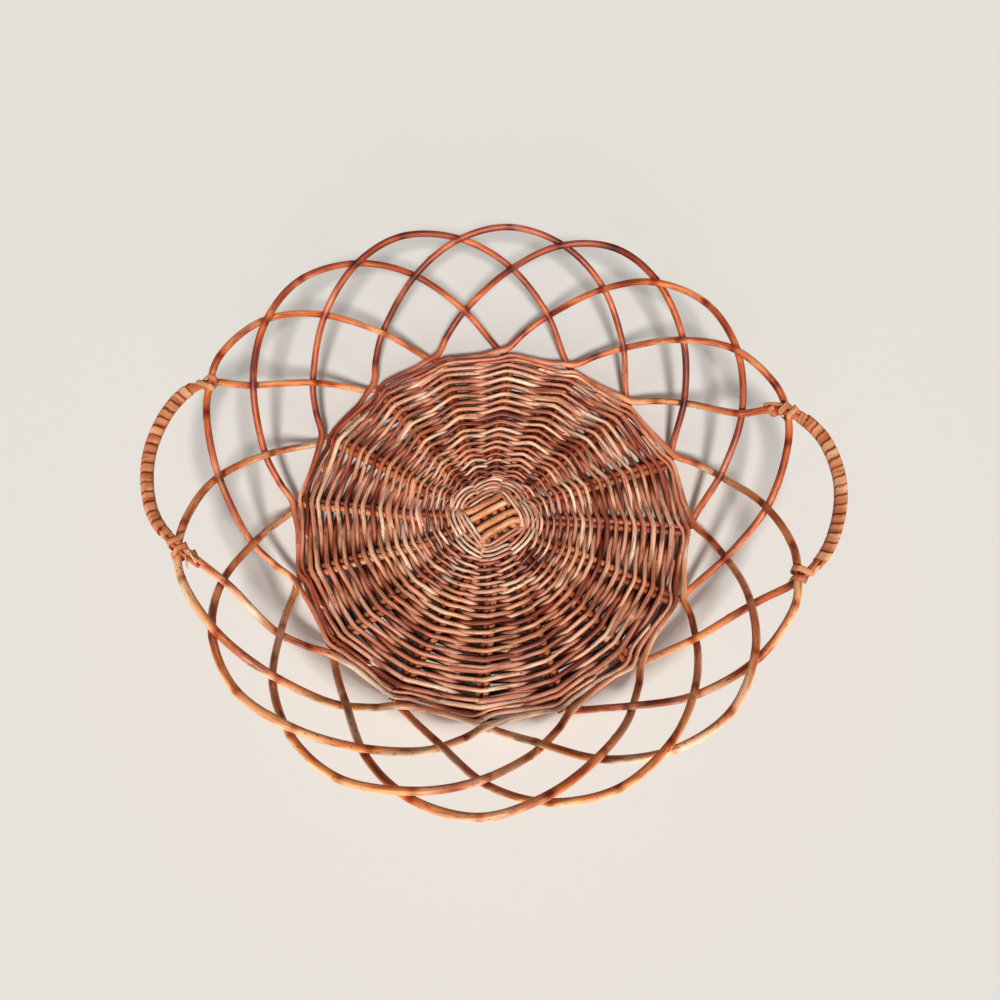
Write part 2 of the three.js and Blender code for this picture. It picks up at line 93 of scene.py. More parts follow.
# Bend of a thick end under the rim: along it, out from the middle, above the ground
HEEL_REACHES = [100, 117]
HEEL_KINK = [(-4.2, 124, 5.2), (-3.0, 127.2, 5.4), (1.6, 129.2, 6.4)]

# Thin end on the rim: places past its foot, out from the middle, above the ground
TIP_TRACK = [
    (-0.09, 129.6, 10.4), (0.1, 127.4, 10.2), (0.3, 125.8, 9.7), (0.6, 125.3, 9.4), (0.85, 124.9, 9.2),
    (1.05, 122.6, 8.8), (1.4, 122.3, 8.8), (1.8, 121.9, 8.8), (2.02, 119.6, 8.7), (2.4, 119.2, 8.5),
]
TIP_STRAIGHTNESS = 0.9
TIP_STRAY = 0.7
TIP_STRAY_UP = 0.4
TIP_STRAY_PLACES = (0, 0.5)

# Thickness of an arch by foot places past its second foot: place, radius
TIP_TAPER = [(0, 2.05), (0.3, 1.6), (1, 1.2), (2.5, 0.85)]

# How far the wall has moved up along itself and round the basket, growing between these reaches
RAISED = 0.4
LEAN = 3.2
TURNED = 1.2
SWIRL = 4.0
SWIRL_DIRECTION = radians(240)
WALL_REACHES = (LANDING_RADIUS - 8, LANDING_RADIUS + 26)
TOP_HELD = 0.6
TOP_CLIMB = (0.7, 1.05)
WANDER = 1.1
WANDER_LENGTH = 75

# Bulges of the border: direction, size
BULGES = [(radians(146), 5.0), (radians(270), 3.5), (radians(0), 2.0)]
BULGE_WIDTH = radians(28)
BULGE_CLIMB = (0.25, 1.0)

# How far the base has drifted and turned, from its middle to its rim
BASE_SHIFT_MIDDLE = Vector((-1.9, -0.2, 0))
BASE_SHIFT_RIM = Vector((-1.7, -3.7, 0))
BASE_REACHES = (LANDING_RADIUS - 4, LANDING_RADIUS + 18)
MIDDLE_TURN = radians(2.5)
BASE_TURN = radians(1.2)
BASE_TWIST = radians(2.6)
BASE_TWIST_DIRECTION = radians(330)
TWIST_REACHES = (15, 90)

# Fineness of the rods and strips
ROD_STEP = 1.7
ROD_SIDES = 12
CORE_SIDES = 10
SPLIT_SIDES = 8
WEAVER_STEP = 1.6
WEAVER_SIDES = 10
CURVE_SAMPLES = 24
STRIP_STEPS = 44
STRIP_PLACES = [k / 6 - 0.5 for k in range(7)]

chance = random.Random(7)
noise.seed_set(7)


# Places and curves

def polar(angle, radius, height):
    return Vector((radius * cos(angle), radius * sin(angle), height))


def mix(a, b, share):
    return a + (b - a) * share


def ease(value, low, high):
    share = min(1.0, max(0.0, (value - low) / (high - low)))
    return share * share * (3 - 2 * share)


def cubic(start, end, leave, arrive, t):
    """Point of the curve from start to end that leaves and arrives along these ways."""
    square = -3 * start + 3 * end - 2 * leave - arrive
    cube = 2 * start - 2 * end + leave + arrive
    return start + leave * t + square * t ** 2 + cube * t ** 3


def catmull_rom(points, samples):
    """Points along the centripetal curve through these points, ends reflected."""
    knots = [points[0] * 2 - points[1], *points, points[-1] * 2 - points[-2]]
    result = [points[0].copy()]
    for before, start, end, after in zip(knots, knots[1:], knots[2:], knots[3:]):
        pairs = ((before, start), (start, end), (end, after))
        first, second, third = (sqrt((b - a).length) for a, b in pairs)
        straight = (end - start) / second
        leave = (start - before) / first - (end - before) / (first + second) + straight
        arrive = straight - (after - start) / (second + third) + (after - end) / third
        leave *= second
        arrive *= second
        result += [cubic(start, end, leave, arrive, k / samples) for k in range(1, samples + 1)]
    return result


def lengths_along(points):
    total = [0.0]
    for a, b in zip(points, points[1:]):
        total.append(total[-1] + (b - a).length)
    return total


def at_length(points, lengths, distance):
    """Point of a polyline at a distance along it."""
    distance = min(max(distance, 0.0), lengths[-1])
    k = min(bisect_right(lengths, distance), len(lengths) - 1)
    share = (distance - lengths[k - 1]) / max(lengths[k] - lengths[k - 1], 1e-9)
    return mix(points[k - 1], points[k], share)


def even_steps(points, step):
    lengths = lengths_along(points)
    count = max(2, round(lengths[-1] / step))
    return [at_length(points, lengths, lengths[-1] * k / count) for k in range(count + 1)]


def tangents(points):
    result = []
    for k in range(len(points)):
        before, after = points[max(k - 1, 0)], points[min(k + 1, len(points) - 1)]
        result.append((after - before).normalized())
    return result


def waver(along, second=0.0, third=0.0, seed=Vector((0, 0, 0))):
    """Smooth unevenness, a wave for each 1 along; the other numbers only keep the patterns apart."""
    return noise.noise(seed + Vector((along, second, third)))


# How the basket has settled: the border leans, twists and bulges, the base has drifted

def angle_between(a, b):
    return (a - b + pi) % TURN - pi


def settle(point):
    """Where a point of the newly woven basket has come to lie."""
    reach = hypot(point.x, point.y)
    angle = atan2(point.y, point.x)
    climb = (point.z - LANDING_HEIGHT) / WALL_RISE
    in_wall = ease(reach, *WALL_REACHES)
    free = in_wall * (1 - TOP_HELD * ease(climb, *TOP_CLIMB))
    up_wall = free * (RAISED - LEAN * cos(angle))
    sideways = free * (TURNED + SWIRL * cos(angle - SWIRL_DIRECTION))
    bulges = (size * exp(-(angle_between(angle, at) / BULGE_WIDTH) ** 2) for at, size in BULGES)
    outward = sum(bulges) * ease(climb, *BULGE_CLIMB)
    out = Vector((cos(angle), sin(angle), 0))
    around = Vector((-out.y, out.x, 0))
    climb_way = out * WALL_NORMAL.y + Vector((0, 0, -WALL_NORMAL.x))
    shift = climb_way * up_wall + around * sideways + out * outward
    wander = noise.noise_vector(point / WANDER_LENGTH) * WANDER
    wander.z *= in_wall
    in_base = 1 - ease(reach, *BASE_REACHES)
    twist = BASE_TURN + BASE_TWIST * cos(angle - BASE_TWIST_DIRECTION)
    twist = mix(MIDDLE_TURN, twist, ease(reach, *TWIST_REACHES)) * in_base
    turned = Matrix.Rotation(twist, 3, "Z") @ point
    drift = BASE_SHIFT_MIDDLE.lerp(BASE_SHIFT_RIM, min(1.0, reach / LANDING_RADIUS)) * in_base
    return turned + drift + shift + wander


# Arches of the border

def wall_place(place):
    """Radius and height of an arch at a place counted in half pitches from its top."""
    shape = [Vector(pair) for pair in (*reversed(WALL_SHAPE[1:]), *WALL_SHAPE)]
    share = (place + ARCH_SPAN) / (2 * ARCH_SPAN) * (len(shape) - 1)
    k = min(int(share), len(shape) - 2)
    before, start, end, after = (shape[min(max(k + j, 0), len(shape) - 1)] for j in (-1, 0, 1, 2))
    spot = cubic(start, end, (end - before) / 2, (after - start) / 2, share - k)
    return Vector((LANDING_RADIUS + spot.x * WALL_FLARE, LANDING_HEIGHT + spot.y * WALL_RISE))


def on_wall(centre, place, side, middle):
    """Where an arch is at a place: on one side of the wall or the other, or midway with side 0."""
    lifted = middle + WALL_NORMAL * side * CROSSING_LIFT
    return polar(centre + place * HALF_PITCH, lifted.x, lifted.y)


def beside_spoke(foot, reach):
    direction = foot + SPOKE_TURN
    return polar(direction, reach, SPOKE_HEIGHT) + polar(direction + pi / 2, BUTT_OFFSET, 0)


def butt_points(foot):
    """A thick end lies beside its stick and is kinked up under the rim."""
    inside = [beside_spoke(foot, reach) for reach in (BUTT_INNER_RADIUS, *HEEL_REACHES)]
    kink = [polar(foot + along / reach, reach, height) for along, reach, height in HEEL_KINK]
    return inside + kink


def straightened(angle, share):
    """How much nearer the middle a rod is where it runs straight from one spoke to the next."""
    across = ((angle - SPOKE_TURN) / PITCH % 1 - 0.5) * PITCH
    return mix(1.0, cos(HALF_PITCH) / cos(across), share)


def tip_points(foot):
    """A thin end follows the rim and gives way inwards to each one laid after it."""
    points = []
    for places, reach, height in TIP_TRACK:
        angle = foot + places * PITCH
        stray = TIP_STRAY * ease(places, *TIP_STRAY_PLACES)
        reach = reach * straightened(angle, TIP_STRAIGHTNESS) + stray * chance.uniform(-1, 1)
        points.append(polar(angle, reach, height + TIP_STRAY_UP * stray * chance.uniform(-1, 1)))
    return points


def is_handle(index):
    return index % (ARCH_COUNT // 2) == 0


def handle_crossings():
    """Places of a handle's bow above the wall: both ties, both shoulders and the top."""
    tie = wall_place(NEIGHBOUR_CROSSING)
    top = Vector((LANDING_RADIUS + HANDLE_FLARE, LANDING_HEIGHT + HANDLE_RISE))
    shoulder = mix(tie, top, HANDLE_SHOULDER)
    place = HANDLE_SHOULDER_PLACE * HANDLE_CROSSING
    sides = [(sign * HANDLE_CROSSING, sign, tie) for sign in (-1, 1)]
    return [*sides, (-place, 0, shoulder), (0, 0, top), (place, 0, shoulder)]


def crossings_of(index):
    """Places of an arch along the wall, in order, each with its side of the wall."""
    found = [(place, side, wall_place(place)) for place, side in CROSSING_SIDES]
    if is_handle(index):
        found = [row for row in found if abs(row[0]) > HANDLE_CROSSING] + handle_crossings()
    for side in (-1, 1):
        if is_handle(index + side):
            place = side * NEIGHBOUR_CROSSING
            found.append((place, side, wall_place(place)))
    return sorted(found, key=lambda row: row[0])


def plan_arch(index):
    """Centre line of an arch, and where along it each crossing lies."""
    centre = index * PITCH
    front_foot = centre + ARCH_SPAN * HALF_PITCH
    butt = butt_points(centre - ARCH_SPAN * HALF_PITCH)
    easing = ARCH_SPAN - LANDING_EASE
    wall = [*crossings_of(index), (easing, 0, wall_place(easing))]
    points = butt + [on_wall(centre, *row) for row in wall]
    points += tip_points(front_foot)
    line = catmull_rom(points, CURVE_SAMPLES)
    lengths = lengths_along(line)
    places = {row[0]: lengths[(len(butt) + k) * CURVE_SAMPLES] for k, row in enumerate(wall)}
    lands = lengths[(len(butt) + len(wall)) * CURVE_SAMPLES]
    return {"line": line, "lengths": lengths, "places": places, "lands": lands}


# Finish of the willow

# Tones of the wood from dark to pale, as they look on a screen
ROD_TONES = [(116, 34, 10), (188, 84, 40), (228, 126, 66), (248, 166, 104), (255, 214, 166)]
WEAVER_TONES = [(110, 38, 18), (180, 94, 58), (222, 142, 98), (246, 186, 142), (255, 230, 192)]
STICK_TONES = [(136, 64, 32), (194, 110, 64), (228, 150, 98), (244, 178, 124), (252, 212, 164)]
SKEIN_TONES = [(146, 62, 30), (200, 110, 64), (228, 146, 94), (244, 176, 124), (252, 212, 164)]
COOL_TONES = [(100, 40, 32), (168, 90, 72), (216, 142, 116), (244, 188, 162), (255, 232, 210)]

# Each finish: tones, colour of its stains, how many more flecks, strength of its streaks, roughness
FINISHES = {
    "border_rod": (ROD_TONES, (140, 56, 28), 0.002, 0.9, 0.38),
    "weaver": (WEAVER_TONES, (110, 48, 36), 0.0, 1.0, 0.42),
    "base_stick": (STICK_TONES, (150, 76, 46), 0.0, 0.8, 0.5),
    "skein": (SKEIN_TONES, (168, 86, 50), -0.03, 0.4, 0.4),
}

# How often each pattern of the wood changes in a metre, along a rod and across it; detail, roughness
DRIFT = (22, 120, 3)
FIBRES = (45, 1500, 4, 0.6)
THREADS = (160, 5200, 3, 0.6)
FLECKS = (330, 950, 2)
PATCHES = (55, 260, 3)
CUT_GRAINS = (2600, 2600, 3)

# How strongly each pattern shows
DRIFT_SHARE = 1.6
THREAD_SHARE = 0.3
THREAD_RELIEF = 0.5
SHEEN_SPREAD = 0.3
PATCH_STOPS = [(0.52, 0.0), (0.68, 0.75)]
FLECK_STOPS = [(0.64, 0.0), (0.70, 0.85)]
SCAR_STOPS = [(0.3, 0.0), (0.9, 0.75)]
CUT_STOPS = [(0.3, (196, 140, 96)), (0.7, (240, 204, 160))]
FLECK_COLOR = (92, 40, 22)
SCAR_COLOR = (84, 36, 22)
SHADE_AND_GRIME_COLOR = (46, 14, 8)
SHADE_AND_GRIME_DEPTH = 1.1
SHADE_AND_GRIME_COVER = 0.85


def paint(red, green, blue):
    """Linear colour from the usual 0 to 255 values."""
    def linear(value):
        share = value / 255
        return share / 12.92 if share <= 0.04045 else ((share + 0.055) / 1.055) ** 2.4
    return (linear(red), linear(green), linear(blue), 1.0)


def add_node(tree, kind, inputs=None, **settings):
    made = tree.nodes.new(kind)
    for key, value in settings.items():
        setattr(made, key, value)
    for key, value in (inputs or {}).items():
        if isinstance(value, bpy.types.NodeSocket):
            tree.links.new(value, made.inputs[key])
        else:
            made.inputs[key].default_value = value
    return made


def pattern(tree, place, along, across, detail, roughness=0.5):
    """Noise that changes this often along the grain and across it."""
    scales = (along, across, across)
    made = add_node(tree, "ShaderNodeVectorMath", {0: place, 1: scales}, operation="MULTIPLY")
    inputs = {"Vector": made.outputs["Vector"], "Scale": 1.0, "Detail": detail, "Roughness": roughness}
    return add_node(tree, "ShaderNodeTexNoise", inputs).outputs["Fac"]


def ramp(tree, value, stops):
    made = add_node(tree, "ShaderNodeValToRGB", {"Fac": value})
    elements = made.color_ramp.elements
    while len(elements) < len(stops):
        elements.new(0.5)
    for element, (place, color) in zip(elements, stops):
        element.position = place
        element.color = color if hasattr(color, "__len__") else (color, color, color, 1)
    return made.outputs["Color"]


def arithmetic(tree, operation, first, second, third=0.0):
    made = add_node(tree, "ShaderNodeMath", {0: first, 1: second, 2: third}, operation=operation)
    return made.outputs["Value"]


def blend_colors(tree, share, first, second):
    made = add_node(tree, "ShaderNodeMix", {0: share, 6: first, 7: second}, data_type="RGBA")
    return made.outputs[2]


def start_material(name):
    material = bpy.data.materials.new(name)
    material.use_nodes = True
    return material, material.node_tree, material.node_tree.nodes["Principled BSDF"]


def add_relief(tree, shader, height, strength, distance):
    inputs = {"Strength": strength, "Distance": distance, "Height": height}
    bump = add_node(tree, "ShaderNodeBump", inputs)
    tree.links.new(bump.outputs["Normal"], shader.inputs["Normal"])


def willow(name, tones, stain, more_flecks, streaks, roughness):
    """Peeled willow: tones from dark to pale, long fibres, stains, dark flecks and a soft sheen."""
    material, tree, shader = start_material(name)
    grain, marks, cast = (
        add_node(tree, "ShaderNodeAttribute", attribute_name=kind).outputs[output]
        for kind, output in (("grain", "Vector"), ("marks", "Vector"), ("cast", "Fac"))
    )
    tone, scar, shade_and_grime = add_node(tree, "ShaderNodeSeparateXYZ", {0: marks}).outputs
    drift, fibres, threads, flecks, patches = (
        pattern(tree, grain, *scales) for scales in (DRIFT, FIBRES, THREADS, FLECKS, PATCHES)
    )
    value = arithmetic(tree, "MULTIPLY_ADD", drift, DRIFT_SHARE, tone)
    value = arithmetic(tree, "MULTIPLY_ADD", fibres, streaks, value)
    value = arithmetic(tree, "MULTIPLY_ADD", threads, THREAD_SHARE, value)
    value = arithmetic(tree, "SUBTRACT", value, (DRIFT_SHARE + THREAD_SHARE + streaks) / 2)
    warm, cool = (
        ramp(tree, value, [(k / (len(row) - 1), paint(*shade)) for k, shade in enumerate(row)])
        for row in (tones, COOL_TONES)
    )
    colour = blend_colors(tree, cast, warm, cool)
    fleck_stops = [(place - more_flecks, share) for place, share in FLECK_STOPS]
    for mask, stops, shade in (
        (patches, PATCH_STOPS, stain),
        (flecks, fleck_stops, FLECK_COLOR),
        (scar, SCAR_STOPS, SCAR_COLOR),
    ):
        colour = blend_colors(tree, ramp(tree, mask, stops), colour, paint(*shade))
    # Grime and painted shade: the colour is darkened and deepened, then mixed towards a dark brown
    depth = arithmetic(tree, "MULTIPLY_ADD", shade_and_grime, SHADE_AND_GRIME_DEPTH, 1.0)
    colour = add_node(tree, "ShaderNodeGamma", {"Color": colour, "Gamma": depth}).outputs["Color"]
    cover = arithmetic(tree, "MULTIPLY", shade_and_grime, SHADE_AND_GRIME_COVER)
    colour = blend_colors(tree, cover, colour, paint(*SHADE_AND_GRIME_COLOR))
    tree.links.new(colour, shader.inputs["Base Color"])
    sheen = arithmetic(tree, "MULTIPLY_ADD", fibres, SHEEN_SPREAD, roughness - SHEEN_SPREAD / 2)
    tree.links.new(sheen, shader.inputs["Roughness"])
    relief = arithmetic(tree, "MULTIPLY_ADD", threads, THREAD_RELIEF, fibres)
    add_relief(tree, shader, relief, strength=0.5, distance=0.35 * MM)
    return material


def cut_wood():
    """Freshly cut end of a rod: pale wood with short fibres."""
    material, tree, shader = start_material("willow_cut_end")
    place = add_node(tree, "ShaderNodeTexCoord").outputs["Object"]
    grains = pattern(tree, place, *CUT_GRAINS)
    colour = ramp(tree, grains, [(at, paint(*shade)) for at, shade in CUT_STOPS])
    tree.links.new(colour, shader.inputs["Base Color"])
    shader.inputs["Roughness"].default_value = 0.7
    add_relief(tree, shader, grains, strength=0.4, distance=0.2 * MM)
    return material


def make_finishes():
    made = {name: willow(f"willow_{name}", *look) for name, look in FINISHES.items()}
    made["cut"] = cut_wood()
    return made


# Making of rods and strips

# Bud scars: gaps between them, in spacings; their size, shape and swelling
SCAR_START = (0.2, 1.0)
SCAR_GAPS = (0.6, 1.5)
SCAR_SIZES = (0.5, 1.0)
SCAR_LENGTH = 1.5
SCAR_WIDTH = 0.7
SCAR_REACH = 6
SCAR_SWELL = 0.16

# Painted shade inside the weave: how far a face looks at the weave's middle layer, how near to that
# layer it lies
WEAVE_SHADE_FACING = (-0.25, 0.75)
WEAVE_SHADE_NEAR = 0.4
WEAVE_SHADE_FAR = 3.0

# Painted highlight of the low front light: how far to the front a rod lies, how far a face looks out of
# the basket
HIGHLIGHT_FRONT = (10, 100)
HIGHLIGHT_FACING = (0.15, 0.9)

# Length over which a rod's tone drifts, and how far apart the patterns of two rods begin
MOTTLE_LENGTH = 18
GRAIN_SPREAD = 9
SEED_SPREAD = 99

# Share of a rod's thickness that the worn arris of a cut end leaves
CUT_EDGE = 0.86


def start_piece():
    if bpy.context.object and bpy.context.object.mode != "OBJECT":
        bpy.ops.object.mode_set(mode="OBJECT")
    bpy.ops.object.select_all(action="DESELECT")


def scars_of(length, spacing):
    """Places of the bud scars along a rod: distance, side and size."""
    places = []
    at = chance.uniform(*SCAR_START) * spacing
    while at < length:
        places.append((at, chance.uniform(0, TURN), chance.uniform(*SCAR_SIZES)))
        at += chance.uniform(*SCAR_GAPS) * spacing
    return places


def scar_at(scars, distance, turn):
    """Strength of the bud scars at a place on a rod's skin."""
    strength = 0.0
    for at, side, size in scars:
        if abs(distance - at) < SCAR_REACH:
            away = ((distance - at) / SCAR_LENGTH) ** 2 + (angle_between(turn, side) / SCAR_WIDTH) ** 2
            strength = max(strength, size * exp(-away))
    return strength


def weave_shade_at(height, facing, strength, middle):
    """Painted shade inside the weave: what faces its middle layer is darker, its two faces are not."""
    above = ease(facing, *WEAVE_SHADE_FACING) * ease(height, middle - WEAVE_SHADE_FAR, middle - WEAVE_SHADE_NEAR)
    below = ease(-facing, *WEAVE_SHADE_FACING) * (1 - ease(height, middle + WEAVE_SHADE_NEAR, middle + WEAVE_SHADE_FAR))
    return strength * (1 - max(above, below))


def front_highlight_at(point, facing):
    """Painted highlight of the low front light: paler on the side that looks out of the basket, most at
    the front.
    """
    outward = Vector((point.x, point.y, 0)).normalized().dot(facing)
    return ease(-point.y, *HIGHLIGHT_FRONT) * ease(outward, *HIGHLIGHT_FACING)


def mottled(tone, amount, count):
    """Tone ring by ring, drifting along the rod."""
    seed = Vector((chance.uniform(0, SEED_SPREAD), chance.uniform(0, SEED_SPREAD), 0))
    return [tone + amount * waver(0, 0, k * ROD_STEP / MOTTLE_LENGTH, seed) for k in range(count)]


def each_ring(value, count):
    return value if isinstance(value, list) else [value] * count


def add_attributes(mesh):
    """Where the grain runs; tone with its painted highlight, scars, and grime with painted shade; and
    the cast from warm to cool.
    """
    for name, kind in (("grain", "FLOAT_VECTOR"), ("marks", "FLOAT_VECTOR"), ("cast", "FLOAT")):
        mesh.attributes.new(name, kind, "POINT")
    return [mesh.attributes[name] for name in ("grain", "marks", "cast")]


def grain_start():
    """Place in the wood's patterns where a rod or strip begins."""
    return Vector([chance.uniform(0, GRAIN_SPREAD) for _ in range(3)])


def make_rods(name, rods, finish, sides, *nodes):
    """One piece of round rods.

    Each has points and radii in millimetres, tone, cast, and grime with painted shade, ring by ring
    or one for all, bud scars, the strength and middle height of its painted shade inside the weave,
    the strength of its painted highlight of the low front light, and its two cuts, as ways that they
    look or how far they look upwards.
    """
    start_piece()
    bpy.ops.curve.primitive_nurbs_path_add()
    piece = bpy.context.object
    curve = piece.data
    curve.splines.clear()
    curve.dimensions = "3D"
    curve.twist_mode = "MINIMUM"
    curve.bevel_depth = 1.0
    curve.bevel_resolution = (sides - 4) // 2
    curve.use_fill_caps = False
    for rod in rods:
        radii = each_ring(rod["radii"], len(rod["points"]))
        rod["radii"] = [radii[0] * CUT_EDGE, *radii[1:-1], radii[-1] * CUT_EDGE]
        spline = curve.splines.new("POLY")
        spline.points.add(len(rod["points"]) - 1)
        for spot, point, radius in zip(spline.points, rod["points"], rod["radii"]):
            spot.co = (*(point * MM), 1)
            spot.radius = radius * MM
    bpy.ops.object.convert(target="MESH")
    piece = bpy.context.object
    piece.name = name
    shape_rods(piece.data, rods, sides)
    bpy.ops.object.mode_set(mode="EDIT")
    bpy.ops.mesh.select_all(action="SELECT")
    bpy.ops.mesh.fill_holes(sides=0)
    face_outwards()
    piece.data.materials.clear()
    piece.data.materials.append(finishes[finish])
    piece.data.materials.append(finishes["cut"])
    for face in piece.data.polygons:
        if len(face.vertices) > 4:
            face.material_index = 1
    bpy.ops.object.shade_smooth_by_angle(angle=radians(50))
    ride_frame(piece, finish, *nodes)


def face_outwards():
    """All faces of the piece in edit mode look outwards; edit mode ends."""
    bpy.ops.mesh.select_all(action="SELECT")
    bpy.ops.mesh.normals_make_consistent(inside=False)
    bpy.ops.object.mode_set(mode="OBJECT")


def shape_rods(mesh, rods, sides):
    """Bud scars and cut ends on the rings, and the coordinates that the grain follows."""
    grain, marks, casts = add_attributes(mesh)
    index = 0
    for rod in rods:
        offset = grain_start()
        points = rod["points"]
        along = lengths_along(points)
        ways = tangents(points)
        scars, weave_shade = rod.get("scars", []), rod.get("weave_shade")
        tone, cast, shade_and_grime = (
            each_ring(rod.get(key, 0.0), len(points)) for key in ("tone", "cast", "shade_and_grime")
        )
        first_cut, last_cut = rod["cuts"]
        cuts = {0: first_cut, len(points) - 1: last_cut}
        for k, point in enumerate(points):
            centre = point * MM
            radius = rod["radii"][k] * MM
            cut = cuts.get(k)
            if isinstance(cut, float):
                cut = Vector((0, 0, cut))
            for side in range(sides):
                turn = TURN * side / sides
                vertex = mesh.vertices[index]
                spoke = vertex.co - centre
                scar = scar_at(scars, along[k], turn)
                spoke *= 1 + SCAR_SWELL * scar
                if cut:
                    spoke += ways[k] * spoke.dot(cut) * (1 if k == 0 else -1)
                vertex.co = centre + spoke
                # Painted shade: the rod's grime and shade, or the shade inside the weave, whichever is
                # darker
                shade_and_grime_here = max(shade_and_grime[k], weave_shade_at(point.z, spoke.z / radius, *weave_shade) if weave_shade else 0.0)
                # Painted highlight: the outer side of the front rods is paler
                highlight = rod.get("painted_highlight", 0.0) * front_highlight_at(point, spoke / radius)
                turned = Vector((along[k] * MM, radius * cos(turn), radius * sin(turn)))
                grain.data[index].vector = offset + turned
                marks.data[index].vector = (tone[k] + highlight, scar, shade_and_grime_here)
                casts.data[index].value = cast[k]
                index += 1


def ride_frame(piece, slot, *nodes):
    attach(piece, BODY)
    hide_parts(*nodes)


# Base sticks

FAN_TURN = SPOKE_TURN + HALF_PITCH + PITCH
STICK_GIRTHS = (0.96, 1.03)
STICK_SWELL = 0.12
STICK_SWELL_REACHES = (10, 24)
STICK_UNEVENNESS = 0.03
STICK_UNEVEN_LENGTH = 14
# Painted shade on a stick where it runs under the weave, growing between these reaches
STICK_SHADE = 0.55
STICK_SHADE_REACHES = (15, 28)


def stick_points(number, cross_height):
    """A stick lies straight across the middle and fans out from the binding as two spokes."""
    offset = STICK_OFFSETS[number]
    angle = (number - (len(STICK_OFFSETS) - 1) / 2) * PITCH

    def side(sign):
        def out(reach, height):
            return Vector((sign * reach * cos(angle), reach * sin(angle), height))
        return [
            out(STICK_REACH, SPOKE_HEIGHT),
            out(BINDING_OUTER_RADIUS, SPOKE_HEIGHT),
            Vector((sign * CROSS_HALF, offset, cross_height)),
        ]
    return [*side(-1), Vector((0, offset, cross_height)), *reversed(side(1))]


def make_sticks():
    for label, turn, height in (
        ("upper", FAN_TURN, UPPER_STICK_HEIGHT),
        ("lower", FAN_TURN + pi / 2, LOWER_STICK_HEIGHT),
    ):
        spin = Matrix.Rotation(turn, 3, "Z")
        for k in range(len(STICK_OFFSETS)):
            course = catmull_rom([spin @ point for point in stick_points(k, height)], CURVE_SAMPLES)
            line = [settle(point) for point in even_steps(course, ROD_STEP)]
            thickness = STICK / 2 * chance.uniform(*STICK_GIRTHS)
            radii, shade_and_grime = [], []
            for point in line:
                reach = hypot(point.x, point.y)
                swell = 1 + STICK_SWELL * (1 - ease(reach, *STICK_SWELL_REACHES))
                uneven = 1 + STICK_UNEVENNESS * noise.noise(point / STICK_UNEVEN_LENGTH)
                radii.append(thickness * swell * uneven)
                shade_and_grime.append(STICK_SHADE * ease(reach, *STICK_SHADE_REACHES))
            rod = dict(
                points=line,
                radii=radii,
                tone=mottled(chance.uniform(0.4, 0.6), amount=0.2, count=len(line)),
                cast=0.15,
                shade_and_grime=shade_and_grime,
                weave_shade=(0.4, height),
                scars=scars_of(len(line) * ROD_STEP, spacing=70),
                cuts=(0.2, 0.2),
            )
            name = f"stick_{label}_{k + 1}"
            make_rods(name, [rod], "base_stick", ROD_SIDES, f"base_{name}")


# Border arches

# How pale each arch is, from dark 0 to pale 1, starting at the right handle
# The arches at the back are darker: painted shade
ARCH_TONES_SHADED_AT_BACK = [
    0.54, 0.4, 0.26, 0.15, 0.15, 0.17, 0.26, 0.48, 0.62, 0.66, 0.68, 0.62, 0.56, 0.6, 0.64, 0.6,
]

# How much paler the outer side of the front arches is: a painted highlight of the low front light
FRONT_HIGHLIGHT = 0.3

ARCH_GIRTHS = (1.03, 1.11)
ARCH_UNEVENNESS = 0.035
ARCH_UNEVEN_LENGTH = 30
TIP_CUT = Vector((0, 0, 1.1))

# Cooler colour of an arch: in places along it, and towards its thin end
BLUSH = 0.1
BLUSH_SPREAD = 0.7
BLUSH_LENGTH = 55
TIP_CAST = 0.6
TIP_CAST_PLACES = (-0.2, 0.3)

# Stain and painted shade where two arches touch, and painted shade inside the weave, fading between
# these heights
CROSSING_STAIN_AND_SHADE = 0.55
CROSSING_STAIN_AND_SHADE_LENGTH = 2.4
INSIDE_SHADE = 0.25
INSIDE_HEIGHTS = (5.6, 7.5)


def arch_name(index):
    if is_handle(index):
        return "handle_arch_right" if index == 0 else "handle_arch_left"
    return f"border_arch_{index:02d}"


def rod_radius(places):
    """Radius of a border rod by foot places past its second foot."""
    for (start, thick), (end, thin) in zip(TIP_TAPER, TIP_TAPER[1:]):
        if places < end:
            return mix(thick, thin, ease(places, start, end))
    return TIP_TAPER[-1][1]


def make_arches():
    for index, plan in enumerate(arch_plans):
        total = plan["lengths"][-1]
        line = even_steps(plan["line"], ROD_STEP)
        step = total / (len(line) - 1)
        radii, shade_and_grime, cast = [], [], []
        girth = chance.uniform(*ARCH_GIRTHS)
        for k, spot in enumerate(line):
            at = k * step
            past = (at - plan["lands"]) / (LANDING_RADIUS * PITCH)
            uneven = 1 + ARCH_UNEVENNESS * waver(at / ARCH_UNEVEN_LENGTH, index * 5.3)
            radii.append(rod_radius(past) * girth * uneven)
            blush = BLUSH + BLUSH_SPREAD * waver(at / BLUSH_LENGTH, index * 3.1, 9)
            cast.append(max(0.0, blush, TIP_CAST * ease(past, *TIP_CAST_PLACES)))
            near = min(abs(at - place) for place in plan["places"].values())
            touched = CROSSING_STAIN_AND_SHADE * exp(-(near / CROSSING_STAIN_AND_SHADE_LENGTH) ** 2)
            shade_and_grime.append(max(touched, INSIDE_SHADE * (1 - ease(spot.z, *INSIDE_HEIGHTS))))
        points = [settle(point) for point in line]
        rod = dict(
            points=points,
            radii=radii,
            tone=mottled(ARCH_TONES_SHADED_AT_BACK[index], amount=0.3, count=len(line)),
            painted_highlight=FRONT_HIGHLIGHT,
            cast=cast,
            shade_and_grime=shade_and_grime,
            scars=scars_of(total, spacing=48),
            cuts=(0.5, points[-1].normalized() + TIP_CUT),
        )
        make_rods(f"arch_{index:02d}", [rod], "border_rod", ROD_SIDES, arch_name(index))


